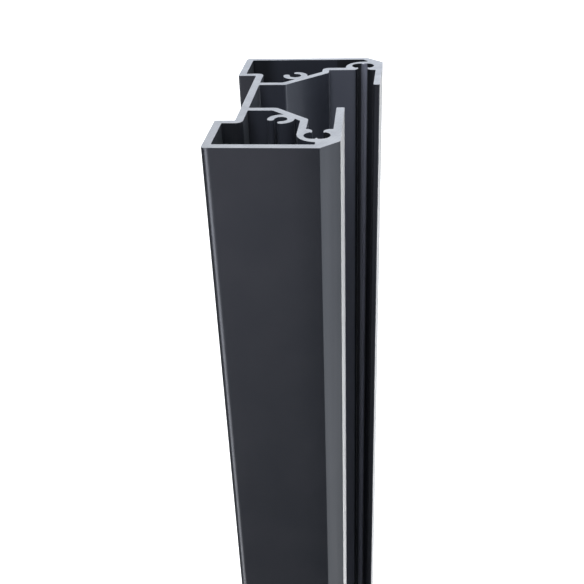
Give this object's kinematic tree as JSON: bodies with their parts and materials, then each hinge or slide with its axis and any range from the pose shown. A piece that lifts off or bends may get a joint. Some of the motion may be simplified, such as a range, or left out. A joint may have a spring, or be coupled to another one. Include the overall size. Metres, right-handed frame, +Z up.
{
  "type": "fence post",
  "caption": "Extruded metal fence post with hollow chambers, a deep board channel between flanges, hook-lipped gasket slots and screw ports along its whole length.",
  "frame": {"origin": "middle of the foot end's outer sizes, on the ground", "axes": "+Z up the post's length, -Y out of the narrower front face, +X out of the deep board channel"},
  "size_m": [0.0602, 0.11, 1],
  "materials": {
    "coated_aluminium": "satin anthracite powder coat, bare metal where it is sawn"
  },
  "bodies": {
    "root": {"post_profile": "coated_aluminium"}
  },
  "joints": []
}
